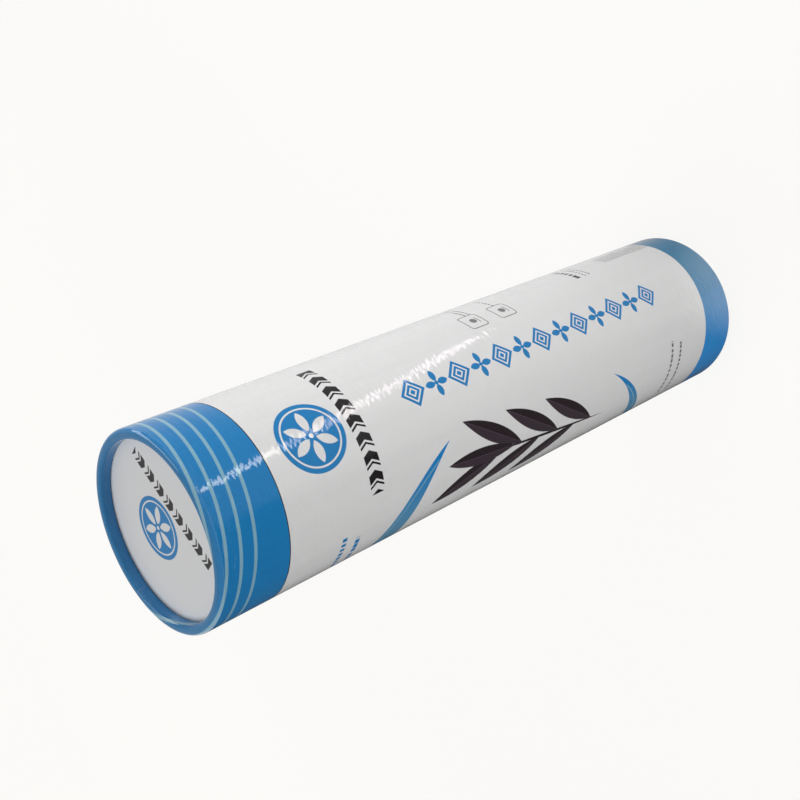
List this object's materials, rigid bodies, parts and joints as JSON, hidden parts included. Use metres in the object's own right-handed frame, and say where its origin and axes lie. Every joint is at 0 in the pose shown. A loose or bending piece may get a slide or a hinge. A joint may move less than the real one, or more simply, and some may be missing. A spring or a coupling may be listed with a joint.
{
  "type": "paper tube",
  "caption": "Round paper packing tube with a flush lid that lifts off an inner neck, rims rolled inward at both ends and a card disc set behind each rim.",
  "frame": {"origin": "centre of the base rim's resting ring", "axes": "+Z along the tube's axis towards the lid, -Y towards the front of the print"},
  "size_m": [0.076, 0.076, 0.313],
  "materials": {
    "body_paper": "white paper wrap with a satin print varnish",
    "lid_paper": "blue paper wrap with pale slanted stripes and a glossy print varnish",
    "disc_card": "white card disc, matt",
    "neck_card": "uncoated white card, matt"
  },
  "bodies": {
    "body": {"body_tube": "body_paper", "base_disc": "disc_card", "inner_tube": "neck_card"},
    "lid": {"lid_tube": "lid_paper", "lid_disc": "disc_card"}
  },
  "joints": [
    {"name": "lid_lift", "type": "slide", "parent": "body", "child": "lid", "axis": [0, 0, 1], "range_m": [0, 0.12]}
  ]
}
